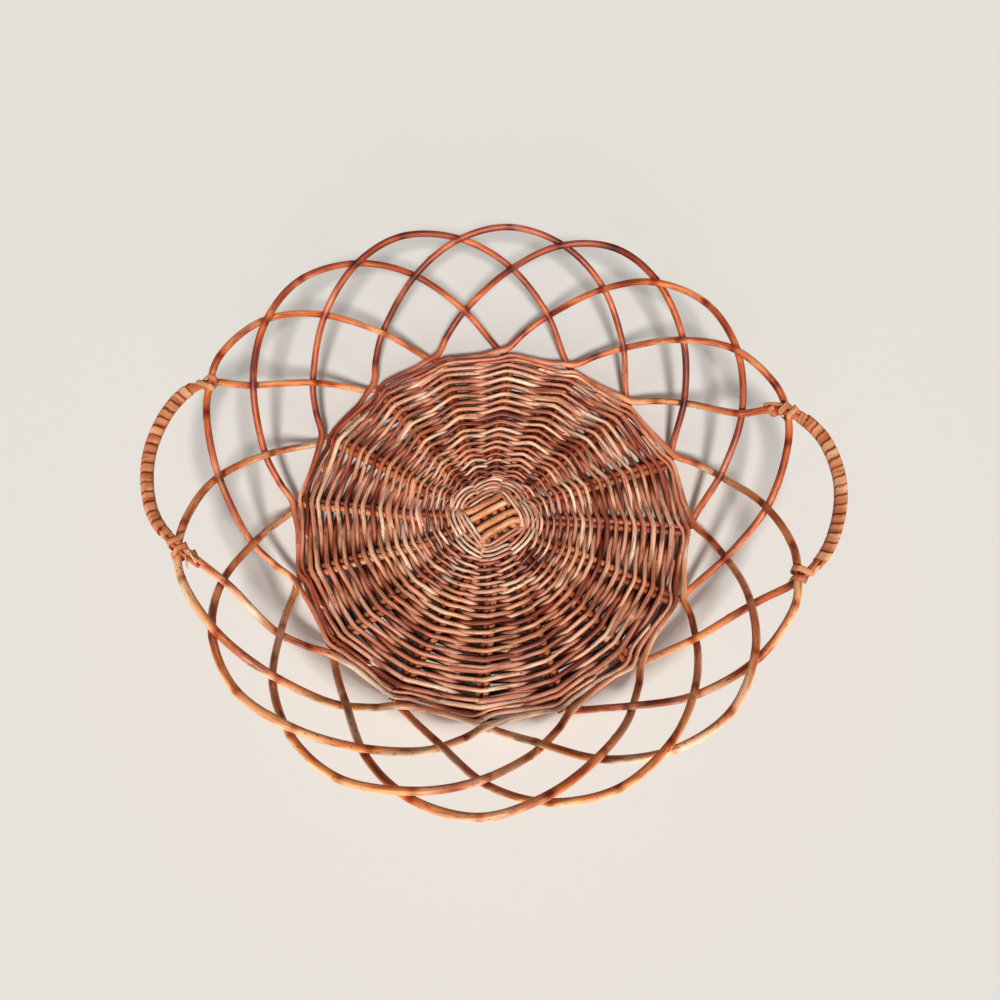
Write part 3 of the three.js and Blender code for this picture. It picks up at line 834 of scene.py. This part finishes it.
# Handles: a thin second rod, a flat strip wound round bow and rod, and a tie at each crossing

# Strip of willow skin: how thick it is, how far its middle lies from the rods, how far it is crowned
STRIP_THICKNESS = 0.5
STRIP_LIFT = STRIP_THICKNESS / 2 + 0.05
STRIP_CROWN = 0.08
STRIP_BEVEL = 0.1
STRIP_CAST = 0.15
EDGE_SHARPNESS = 12

# Wrap of a handle: gap between two turns, how its ends are tucked in, how its turns stray
WRAP_GAP = 0.12
WRAP_SHADES = (0.52, 0.58)
WRAP_MOTTLE = 0.25
# Painted shade along the edges of each turn, where it meets the next
WRAP_EDGE_SHADE = 0.8
TUCK_TURNS = 0.7
TUCK_DEPTH = 0.5
TUCK_NARROWING = 0.3
WRAP_LIFT = 0.12
WRAP_STRAY = 0.25

# Ties: across how much of the strip's width, and how far from the crossing, the rods bear on it
TIE_BEARING = (-0.4, 0, 0.4)
TIE_REACH = 28
TIE_SHADES = (0.4, 0.6)
# Painted shade along the edges of the strip, where the turns meet
TIE_EDGE_SHADE = 0.5

# Rows, narrowing and tone of a tie's loose ends
TAIL_ROWS = 5
TAIL_NARROWING = 0.35
TAIL_TONE = 0.7

# How long the two loose ends of each tie are
TIE_ENDS = {
    "right_start": (3.0, 2.0),
    "right_end": (2.0, 2.0),
    "left_start": (2.0, 2.5),
    "left_end": (5.0, 4.0),
}

# How far the thin second rod is followed past its bow's end
CORE_PAST = 30
CORE_SAMPLES = 120

# Split ends of the strip: how far beside the crossing, how long, how far they lean to the side
SPLIT_ENDS = [(1.6, 11.0, 0.3), (3.4, 8.5, 0.75)]
SPLIT_ROOT = Vector((0, -1.0, 0.4))
SPLIT_RISE = 0.12
SPLIT_DROOP = Vector((0, 0, -0.9))
SPLIT_THICKNESS = 1.1


def make_strip(name, rows, tones, shade_and_grime, node):
    """Flat strip of willow skin: rows hold the points across it, in millimetres."""
    start_piece()
    across = len(rows[0])
    bpy.ops.mesh.primitive_grid_add(x_subdivisions=across - 1, y_subdivisions=len(rows) - 1, size=1)
    piece = bpy.context.object
    piece.name = name
    mesh = piece.data
    grain, marks, casts = add_attributes(mesh)
    offset = grain_start()
    along = 0.0
    for k, row in enumerate(rows):
        if k:
            along += (row[across // 2] - rows[k - 1][across // 2]).length
        for j, point in enumerate(row):
            index = k * across + j
            mesh.vertices[index].co = settle(point) * MM
            grain.data[index].vector = offset + Vector((along, (point - row[0]).length, 0)) * MM
            # The strip's edges are darker: painted shade where one turn meets the next
            edge = abs(2 * j / (across - 1) - 1) ** EDGE_SHARPNESS
            marks.data[index].vector = (tones[k], 0, shade_and_grime * edge)
            casts.data[index].value = STRIP_CAST
    add_modifier("SOLIDIFY", thickness=STRIP_THICKNESS * MM, offset=0)
    add_modifier("BEVEL", width=STRIP_BEVEL * MM, segments=1, angle_limit=radians(60))
    bpy.ops.object.mode_set(mode="EDIT")
    face_outwards()
    mesh.materials.append(finishes["skein"])
    bpy.ops.object.shade_smooth_by_angle(angle=radians(40))
    ride_frame(piece, "skein", node)


def add_modifier(kind, **settings):
    """Add a modifier to the active piece and apply it."""
    bpy.ops.object.modifier_add(type=kind)
    modifier = bpy.context.object.modifiers[-1]
    for key, value in settings.items():
        setattr(modifier, key, value)
    bpy.ops.object.modifier_apply(modifier=modifier.name)


def spot_at(plan, distance):
    return at_length(plan["line"], plan["lengths"], distance)


def tangent_at(plan, distance):
    return (spot_at(plan, distance + 0.5) - spot_at(plan, distance - 0.5)).normalized()


def bow_frame(plan, distance):
    """Middle of a bow's bundle, its way out along the wall and its way through the wall."""
    middle = spot_at(plan, distance)
    tangent = tangent_at(plan, distance)
    normal = polar(atan2(middle.y, middle.x), WALL_NORMAL.x, WALL_NORMAL.y)
    first = tangent.cross(normal).normalized()
    return middle, first, tangent.cross(first)


def drawn_tight(rods, facing, lift):
    """Where a strip runs round rods, seen across them, on the side that faces this way."""
    place, radius = max(rods, key=lambda rod: rod[0].dot(facing) + rod[1])
    return place + facing * (radius + lift)


def crowned(across):
    """How far a strip stands up at a place across it, from -0.5 to 0.5."""
    return (1 - (2 * across) ** 2) * STRIP_CROWN


def make_wrap(label, plan, start, end):
    count = WRAP_TURNS * STRIP_STEPS
    width = (end - start) / WRAP_TURNS - WRAP_GAP
    rods = [(Vector((0, 0)), ROD / 2), (Vector((CORE_OFFSET, 0)), CORE_ROD / 2)]
    rows, tones = [], []
    tone = chance.uniform(*WRAP_SHADES)
    own = len(label)
    for k in range(count + 1):
        turns = k / STRIP_STEPS
        facing = Vector((cos(turns * TURN), sin(turns * TURN)))
        tuck = 1 - ease(min(turns, WRAP_TURNS - turns), 0, TUCK_TURNS)
        lift = STRIP_LIFT - TUCK_DEPTH * tuck + WRAP_LIFT * waver(turns * 1.3, own)
        shift = WRAP_STRAY * waver(turns * 0.8, 7, own)
        row = []
        for across in STRIP_PLACES:
            sideways = across * width * (1 - TUCK_NARROWING * tuck)
            middle, first, second = bow_frame(plan, mix(start, end, k / count) + sideways + shift)
            place = drawn_tight(rods, facing, lift + crowned(across))
            row.append(middle + first * place.x + second * place.y)
        rows.append(row)
        tones.append(tone + WRAP_MOTTLE * waver(turns * 0.9, 3, own))
    make_strip(f"wrap_{label}", rows, tones, WRAP_EDGE_SHADE, f"handle_wrap_{label}")


def passing(line, point, axis):
    """Where a line passes the plane across an axis, nearest to a point of that plane."""
    found = []
    for a, b in zip(line, line[1:]):
        before, after = (a - point).dot(axis), (b - point).dot(axis)
        if before * after <= 0 and before != after:
            found.append(mix(a, b, before / (before - after)))
    return min(found, key=lambda place: (place - point).length)


def near_part(line, place):
    return [point for point in line if (point - place).length < TIE_REACH]


def tail_rows(before, end, length):
    """Rows of a strip's loose end, straight on and a little narrower."""
    centre = end[len(end) // 2]
    way = (centre - before[len(before) // 2]).normalized()
    rows = []
    for k in range(1, TAIL_ROWS + 1):
        share = k / TAIL_ROWS
        rows.append([mix(point, centre, TAIL_NARROWING * share) + way * length * share for point in end])
    return rows


def make_tie(place_name, crossed, lines, lead, trail):
    """Strip round a crossing. Crossed gives the two rods' places and ways, lines all rods with radii."""
    (here, way), (other_here, other_way) = crossed
    axis = (way + other_way).normalized()
    middle = (here + other_here) / 2
    apart = here - other_here
    first = (apart - axis * apart.dot(axis)).normalized()
    second = axis.cross(first)

    def rods_at(reach):
        point = middle + axis * reach
        rods = []
        for line, radius in lines:
            away = passing(line, point, axis) - point
            rods.append((Vector((away.dot(first), away.dot(second))), radius))
        return rods

    count = TIE_TURNS * STRIP_STEPS
    rows = []
    tone = chance.uniform(*TIE_SHADES)
    for k in range(count + 1):
        turn = TURN * k / STRIP_STEPS
        facing = Vector((cos(turn), sin(turn)))
        reach = (k / count - 0.5) * TIE_TURNS * TIE_PITCH
        rods = [rod for share in TIE_BEARING for rod in rods_at(reach + share * SKEIN_WIDTH)]
        row = []
        for across in STRIP_PLACES:
            place = drawn_tight(rods, facing, STRIP_LIFT + crowned(across))
            along = axis * (reach + across * SKEIN_WIDTH)
            row.append(middle + along + first * place.x + second * place.y)
        rows.append(row)
    tones = [TAIL_TONE] * TAIL_ROWS + [tone] * len(rows) + [TAIL_TONE] * TAIL_ROWS
    rows = [*reversed(tail_rows(rows[1], rows[0], lead)), *rows, *tail_rows(rows[-2], rows[-1], trail)]
    make_strip(f"lashing_{place_name}", rows, tones, TIE_EDGE_SHADE, f"tie_{place_name}")


def core_course(plan, start, end, count):
    """Places of the thin second rod beside a bow."""
    frames = (bow_frame(plan, mix(start, end, k / count)) for k in range(count + 1))
    return [middle + first * CORE_OFFSET for middle, first, _ in frames]


def make_core(label, plan, start, end):
    count = round((end - start) / ROD_STEP)
    points = [settle(point) for point in core_course(plan, start, end, count)]
    rod = dict(points=points, radii=CORE_ROD / 2, tone=0.5, cast=0.1, shade_and_grime=0.2, cuts=(2.2, 0.6))
    make_rods(f"core_{label}", [rod], "border_rod", CORE_SIDES, f"handle_core_{label}")


def make_handle_bindings():
    for label, index in (("right", 0), ("left", ARCH_COUNT // 2)):
        bow, before, after = arch_plans[index], arch_plans[index - 1], arch_plans[index + 1]
        start, end = bow["places"][-HANDLE_CROSSING], bow["places"][HANDLE_CROSSING]
        tie_starts = [(bow, start), (before, before["places"][NEIGHBOUR_CROSSING])]
        tie_ends = [(bow, end), (after, after["places"][-NEIGHBOUR_CROSSING])]
        way, other_way = (tangent_at(*pair) for pair in tie_starts)
        tie_length = (TIE_TURNS * TIE_PITCH + SKEIN_WIDTH) / 2 / (way + other_way).normalized().dot(way)
        bare = tie_length + BARE_ROD + SKEIN_WIDTH / 2
        make_wrap(label, bow, start + bare, end - bare)
        core_start = start + bare - (SKEIN_WIDTH + BARE_ROD) / 2
        make_core(label, bow, core_start, end + tie_length + CORE_TAIL)
        core_line = core_course(bow, start, end + CORE_PAST, CORE_SAMPLES)
        for which, pairs in (("start", tie_starts), ("end", tie_ends)):
            crossed = [(spot_at(*pair), tangent_at(*pair)) for pair in pairs]
            lines = [(near_part(plan["line"], crossed[0][0]), ROD / 2) for plan, _ in pairs]
            if which == "end":
                lines.append((near_part(core_line, crossed[0][0]), CORE_ROD / 2))
            place_name = f"{label}_{which}"
            make_tie(place_name, crossed, lines, *TIE_ENDS[place_name])


def make_split_ends():
    """Two fine pale ends of the strip, split off where it is tucked into the front tie on the left."""
    bow = arch_plans[ARCH_COUNT // 2]
    middle = spot_at(bow, bow["places"][HANDLE_CROSSING])
    rods = []
    for sideways, length, lean in SPLIT_ENDS:
        root = middle + SPLIT_ROOT + Vector((sideways, 0, 0))
        way = Vector((lean, -1.0, SPLIT_RISE)).normalized()
        count = round(length / ROD_STEP * 2)
        shares = [k / count for k in range(count + 1)]
        points = [settle(root + way * length * share + SPLIT_DROOP * share ** 2) for share in shares]
        radius = SPLIT_THICKNESS / 2
        rods.append(dict(points=points, radii=radius, tone=0.95, cast=0.1, cuts=(None, 1.2)))
    make_rods("split_ends_left", rods, "skein", SPLIT_SIDES, "tie_left_end")


# Woven base: two weavers cross between the spokes and pass over and under them in turn

WEAVE_START = 27.6
WEAVE_TURNS = 17.86
LAST_OPEN_TURN = 16.26
ROW_STEP = 4.05
ROW_GROWTH = 0.066
ROW_CLOSING = 1.25
BAND_BORDER = 72
WEAVER_LENGTH = 690
WEAVER_LENGTHS = (0.85, 1.15)
SPLICE = PITCH

# Thickness: radius near the middle and at the rim, thick end and thin end, one rod and another
WEAVER_RADII = (1.16, 1.78)
WEAVER_RADII_REACHES = (25, 112)
WEAVER_TAPER = (1.1, 0.82)
WEAVER_GIRTHS = (0.88, 1.12)
WEAVER_UNEVENNESS = 0.05

# Waves: how closely a weaver lies on spoke and partner, how stiffly it runs between its turns
GRIP = 0.98
SWAY = 0.95
STIFF_RISE = 0.94
STIFF_SWAY = 0.8
CHORD = 0.9
GROUND_GAP = 0.1
WAVE_LENGTHENING = 1.06

# Shift of the waves, and from which reach on, where a thick end lies beside each spoke
DOUBLED_SHIFT = 2.2
DOUBLED_REACHES = (38, 50)

# Unevenness of the rows, and how a weaver's ends lie beside the next weaver
SLOW_WANDER = 0.9
QUICK_WANDER = 0.8
RIDING_UP = 0.6
SPLICE_GAP = 1.1
SPLICE_PLACES = (0.2, 1.4)
END_RISE = 0.8
END_RISE_PLACES = (0, 0.5)

# Tones of the weavers, and how they differ from stroke to stroke
WEAVER_SHADES = (0.4, 0.68)
STROKE_SPREAD = 0.42


def row_radius(turns):
    """Rows grow apart towards the rim, and close up in the last row and a half."""
    spiral = WEAVE_START + ROW_STEP * turns + ROW_GROWTH * turns ** 2
    return spiral - ROW_CLOSING * max(0.0, turns - LAST_OPEN_TURN) ** 2


def weaver_radius(radius):
    return mix(*WEAVER_RADII, ease(radius, *WEAVER_RADII_REACHES))


def bent(wave, straightness):
    """A wave drawn straight between its turns, as a stiff rod runs from one stick to the next."""
    return asin(wave * straightness) / asin(straightness)


def weave_point(angle, strand, wander):
    """Where a weaver is after an angle run up from the first spoke."""
    radius = row_radius(angle / TURN)
    doubled = DOUBLED_SHIFT / radius * ease(radius, *DOUBLED_REACHES)
    beats = (angle - doubled) / PITCH
    thick = weaver_radius(radius)
    phase = pi * (beats + strand)
    height = SPOKE_HEIGHT + (STICK / 2 + thick * GRIP) * bent(cos(phase), STIFF_RISE)
    height = max(height, thick + GROUND_GAP)
    chord = straightened(SPOKE_TURN + beats * PITCH, CHORD)
    spot = (radius + wander - thick * SWAY * bent(sin(phase), STIFF_SWAY)) * chord
    return polar(SPOKE_TURN + angle, spot, height)


def soften(points, rounds):
    for _ in range(rounds):
        middle = [(a + b * 2 + c) / 4 for a, b, c in zip(points, points[1:], points[2:])]
        points = [points[0], *middle, points[-1]]
    return points


def make_weavers():
    end_angle = TURN * WEAVE_TURNS
    number = 0
    for strand in (0, 1):
        start = 0.0
        while start < end_angle - 2 * SPLICE:
            number += 1
            radius = row_radius(start / TURN)
            length = WEAVER_LENGTH * chance.uniform(*WEAVER_LENGTHS)
            places = round(length / (radius * PITCH))
            last = min(start + (places + 0.5) * PITCH, end_angle)
            make_weaver(number, strand, start, last)
            start = last - SPLICE


def make_weaver(number, strand, start, last):
    seed = Vector((number * 3.7, strand * 8.1, 0))
    length = (last - start) * row_radius((start + last) / 2 / TURN) * WAVE_LENGTHENING
    count = round(length / WEAVER_STEP)
    points, radii, tones = [], [], []
    girth = chance.uniform(*WEAVER_GIRTHS)
    own_tone = chance.uniform(*WEAVER_SHADES)
    for k in range(count + 1):
        share = k / count
        angle = mix(start, last, share)
        beats = angle / PITCH
        from_start = (angle - start) / SPLICE
        from_end = (last - angle) / SPLICE
        wander = SLOW_WANDER * waver(angle * 1.7, seed=seed)
        wander += QUICK_WANDER * waver(beats * 0.9, 0, 5.5, seed)
        wander += SPLICE_GAP * (ease(from_end, *SPLICE_PLACES) - ease(from_start, *SPLICE_PLACES))
        point = weave_point(angle, strand, wander)
        point.z += END_RISE * (1 - ease(from_end, *END_RISE_PLACES))
        point.z += RIDING_UP * max(0.0, waver(beats * 0.7, 6, 2.5, seed))
        thick = weaver_radius(hypot(point.x, point.y)) * girth * mix(*WEAVER_TAPER, share)
        radii.append(thick * (1 + WEAVER_UNEVENNESS * waver(angle * 9, 4, 0, seed)))
        points.append(settle(point))
        stroke = round((beats + strand) / 2)
        tones.append(own_tone + STROKE_SPREAD * waver(stroke * 0.77, 0, 9.5, seed))
    rod = dict(
        points=soften(points, rounds=1),
        radii=radii,
        tone=tones,
        cast=chance.uniform(0.3, 0.9),
        weave_shade=(1.0, SPOKE_HEIGHT),
        scars=scars_of(len(points) * WEAVER_STEP, spacing=80),
        cuts=(0.9, 1.3),
    )
    inner = row_radius(start / TURN) < BAND_BORDER
    outer = row_radius(last / TURN) > BAND_BORDER
    nodes = [name for name, used in (("base_weave_1", inner), ("base_weave_2", outer)) if used]
    make_rods(f"weaver_{number:02d}", [rod], "weaver", WEAVER_SIDES, *nodes)


# Slath binding: rows round the four groups of sticks, then round the eight pairs

# Each set of rows: groups of sticks, first radius, growth in a turn, squareness, turns
BINDING_ROWS = [
    (4, 13.3, 2.5, 5.0, 2.25),
    (8, 19.2, 2.7, 2.6, 3.1),
]
BINDING_RADIUS = 1.08
BINDING_TAPER = (0.9, 1.05)
BINDING_GRIP = 0.85
BINDING_SWAY = 0.75
BINDING_STEEPNESS = 1.7
BINDING_LENGTHENING = 1.2
BINDING_LOWEST = 1.0
UPPER_SECTOR = (radians(38), radians(52))


def stick_height(upper, radius):
    cross = UPPER_STICK_HEIGHT if upper else LOWER_STICK_HEIGHT
    return mix(cross, SPOKE_HEIGHT, ease(radius, CROSS_HALF, BINDING_OUTER_RADIUS))


def binding_point(angle, strand, groups, start_radius, row_step, squareness):
    """Where a binding weaver is after an angle run up from the middle of the first group."""
    radius = start_radius + row_step * angle / TURN
    local = angle + (PITCH if groups == ARCH_COUNT // 2 else 0)
    from_upper = abs(angle_between(2 * local, 0)) / 2
    share = 1 - ease(from_upper, *UPPER_SECTOR)
    centre = mix(stick_height(False, radius), stick_height(True, radius), share)
    phase = angle * groups / 2 + pi * strand
    rise = tanh(BINDING_STEEPNESS * cos(phase)) / tanh(BINDING_STEEPNESS)
    height = centre + (STICK / 2 + BINDING_GRIP) * rise
    corner = abs(cos(local)) ** squareness + abs(sin(local)) ** squareness
    spot = radius * corner ** (-1 / squareness) - BINDING_SWAY * sin(phase)
    return polar(FAN_TURN + local, spot, max(height, BINDING_LOWEST))


def make_binding():
    for number, (*shape, turns) in enumerate(BINDING_ROWS, 1):
        _, start_radius, row_step, _ = shape
        for strand in (0, 1):
            last = TURN * turns
            count = round(last * (start_radius + row_step) / WEAVER_STEP * BINDING_LENGTHENING)
            points = [settle(binding_point(last * k / count, strand, *shape)) for k in range(count + 1)]
            radii = [BINDING_RADIUS * mix(*BINDING_TAPER, k / count) for k in range(count + 1)]
            rod = dict(
                points=soften(points, rounds=2),
                radii=radii,
                tone=mottled(chance.uniform(0.6, 0.8), amount=0.4, count=len(points)),
                cast=0.7,
                weave_shade=(0.95, 6.5),
                cuts=(None, 1.0),
            )
            name = f"binding_{number}_{strand + 1}"
            make_rods(name, [rod], "weaver", WEAVER_SIDES, "slath_binding")


# Rim rows below the spoke ends: radius and height of each, laid as two halves that overlap

RIM_ROWS = [(119.4, 1.6), (123.4, 1.65)]
RIM_SPAN = pi * 1.08
RIM_STAGGER = 0.37
RIM_RADIUS = 1.5
RIM_TAPER = (1.05, 0.8)
RIM_LIFT = 0.9
RIM_WANDER = 0.6


def make_rim_rows():
    for row, (radius, height) in enumerate(RIM_ROWS, 1):
        for half in (0, 1):
            start = pi * (half + RIM_STAGGER * row)
            count = round(RIM_SPAN * radius / WEAVER_STEP)
            points, radii = [], []
            for k in range(count + 1):
                angle = start + RIM_SPAN * k / count
                lift = RIM_LIFT * sin(pi * (angle - SPOKE_TURN) / PITCH) ** 2
                wander = RIM_WANDER * waver(angle * 3, row * 4.0, half)
                points.append(settle(polar(angle, radius + wander, height + lift)))
                radii.append(RIM_RADIUS * mix(*RIM_TAPER, k / count))
            rod = dict(
                points=points,
                radii=radii,
                tone=mottled(chance.uniform(0.3, 0.6), amount=0.5, count=len(points)),
                cast=0.6,
                weave_shade=(0.5, 3.6),
                scars=scars_of(RIM_SPAN * radius, spacing=90),
                cuts=(0.8, 1.2),
            )
            make_rods(f"rim_row_{row}_{half + 1}", [rod], "weaver", WEAVER_SIDES, "rim_weave")


# Stage, lights and camera

CAMERA_LENS = 29.39
CAMERA_SENSOR = 36
CAMERA_NEAR = 0.01
CAMERA_PLACE = Vector((0.013055, -0.191877, 0.495400))
CAMERA_ELEVATION = radians(67.32)
CAMERA_AZIMUTH = radians(2.857)
FLOOR_SIZE = 8
FLOOR_HEIGHT = -0.4 * MM
ROOM_LIGHT = 0.16

# Lamps: strength, width in degrees, colour, where the light goes
LAMPS = {
    "window": (2.7, 10, (1.0, 0.97, 0.93), (-0.08, 0.62, -0.78)),
    "low_window": (1.3, 35, (1.0, 0.98, 0.96), (-0.05, 0.94, -0.33)),
}


def add_looking(name, data, toward):
    """Add a camera or a lamp that looks this way."""
    made = bpy.data.objects.new(name, data)
    bpy.context.scene.collection.objects.link(made)
    made.rotation_euler = toward.to_track_quat("-Z", "Y").to_euler()
    return made


def make_camera():
    data = bpy.data.cameras.new("photo_camera")
    data.lens = CAMERA_LENS
    data.sensor_width = CAMERA_SENSOR
    data.clip_start = CAMERA_NEAR
    side = CAMERA_AZIMUTH - pi / 2
    back = polar(side, cos(CAMERA_ELEVATION), sin(CAMERA_ELEVATION))
    camera = add_looking("photo_camera", data, -back)
    camera.location = CAMERA_PLACE
    bpy.context.scene.camera = camera


def make_stage():
    start_piece()
    bpy.ops.mesh.primitive_plane_add(size=FLOOR_SIZE, location=(0, 0, FLOOR_HEIGHT))
    floor = bpy.context.object
    floor.name = "floor"
    material, _, shader = start_material("pale_floor")
    shader.inputs["Base Color"].default_value = paint(236, 234, 230)
    shader.inputs["Roughness"].default_value = 0.9
    floor.data.materials.append(material)


def make_light():
    """Two soft lamps, and a room that is bright to the camera but dim on the basket."""
    for name, (energy, angle, color, toward) in LAMPS.items():
        sun = bpy.data.lights.new(name, "SUN")
        sun.energy = energy
        sun.angle = radians(angle)
        sun.color = color
        add_looking(name, sun, Vector(toward))
    world = bpy.data.worlds.new("room")
    world.use_nodes = True
    tree = world.node_tree
    background = tree.nodes["Background"]
    background.inputs["Color"].default_value = paint(240, 238, 234)
    seen = add_node(tree, "ShaderNodeLightPath").outputs["Is Camera Ray"]
    strength = arithmetic(tree, "MULTIPLY_ADD", seen, 1 - ROOM_LIGHT, ROOM_LIGHT)
    tree.links.new(strength, background.inputs["Strength"])
    bpy.context.scene.world = world
    bpy.context.scene.view_settings.view_transform = "Standard"


make_camera()
make_stage()
make_light()
finishes = make_finishes()
arch_plans = [plan_arch(index) for index in range(ARCH_COUNT)]
make_sticks()
make_arches()
make_handle_bindings()
make_binding()
make_weavers()
make_rim_rows()
make_split_ends()
